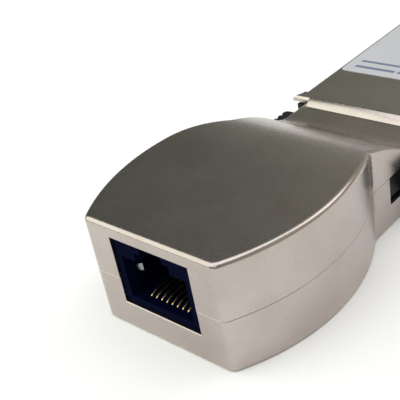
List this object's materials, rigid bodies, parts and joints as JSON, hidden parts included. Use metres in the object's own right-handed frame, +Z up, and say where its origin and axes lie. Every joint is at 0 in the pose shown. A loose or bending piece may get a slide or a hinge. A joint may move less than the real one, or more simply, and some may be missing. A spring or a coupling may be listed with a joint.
{
  "type": "copper network transceiver module",
  "caption": "Plug-in copper network transceiver: a bulged cast-metal head with a modular jack, a neck with squeeze latches and a slim body with a rear blind-mate connector.",
  "frame": {"origin": "on the resting face, under the middle of the module's box", "axes": "+Y from the jack face to the rear connector, +Z up from the resting face, X across"},
  "size_m": [0.0348, 0.107, 0.018],
  "materials": {
    "plated_casting": "satin nickel plate on a zinc die casting",
    "plated_sheet": "satin nickel plate on folded steel sheet",
    "label_film": "matt white film",
    "jack_plastic": "moulded, fine texture",
    "latch_plastic": "moulded, satin",
    "gold_contact": "gold flash on phosphor bronze",
    "tinned_steel": "bright tin plate",
    "screw_steel": "nickel-plated steel",
    "board_laminate": "green solder mask on glass laminate",
    "chip_epoxy": "moulded epoxy",
    "capacitor_resin": "moulded resin"
  },
  "bodies": {
    "module": {"board_screws": "screw_steel", "body_cover": "plated_sheet", "capacitors": "capacitor_resin", "circuit_board": "board_laminate", "crystal": "tinned_steel", "housing_screws": "screw_steel", "jack_contact_1": "gold_contact", "jack_contact_2": "gold_contact", "jack_contact_3": "gold_contact", "jack_contact_4": "gold_contact", "jack_contact_5": "gold_contact", "jack_contact_6": "gold_contact", "jack_contact_7": "gold_contact", "jack_contact_8": "gold_contact", "jack_housing": "jack_plastic", "jack_shield": "tinned_steel", "label": "label_film", "left_ground_blade": "gold_contact", "left_latch_pin": "screw_steel", "left_latch_spring": "tinned_steel", "lower_housing": "plated_casting", "magnetics": "chip_epoxy", "memory_chip": "chip_epoxy", "phy_chip": "chip_epoxy", "rear_connector": "jack_plastic", "rear_contacts_lower": "gold_contact", "rear_contacts_upper": "gold_contact", "right_ground_blade": "gold_contact", "right_latch_pin": "screw_steel", "right_latch_spring": "tinned_steel", "upper_housing": "plated_casting", "voltage_regulator": "chip_epoxy"},
    "left_latch": {"left_latch": "latch_plastic"},
    "right_latch": {"right_latch": "latch_plastic"}
  },
  "joints": [
    {"name": "left_latch_pivot", "type": "hinge", "parent": "module", "child": "left_latch", "pos_m": [-0.0113, -0.01254, 0.0064], "axis": [0, 0, -1], "range_deg": [0, 4.5], "stiffness_Nm_per_rad": 0.06, "springref_deg": -6.88, "deforming": ["left_latch_spring"]},
    {"name": "right_latch_pivot", "type": "hinge", "parent": "module", "child": "right_latch", "pos_m": [0.0113, -0.01254, 0.0064], "axis": [0, 0, 1], "range_deg": [0, 4.5], "stiffness_Nm_per_rad": 0.06, "springref_deg": -6.88, "deforming": ["right_latch_spring"]}
  ]
}
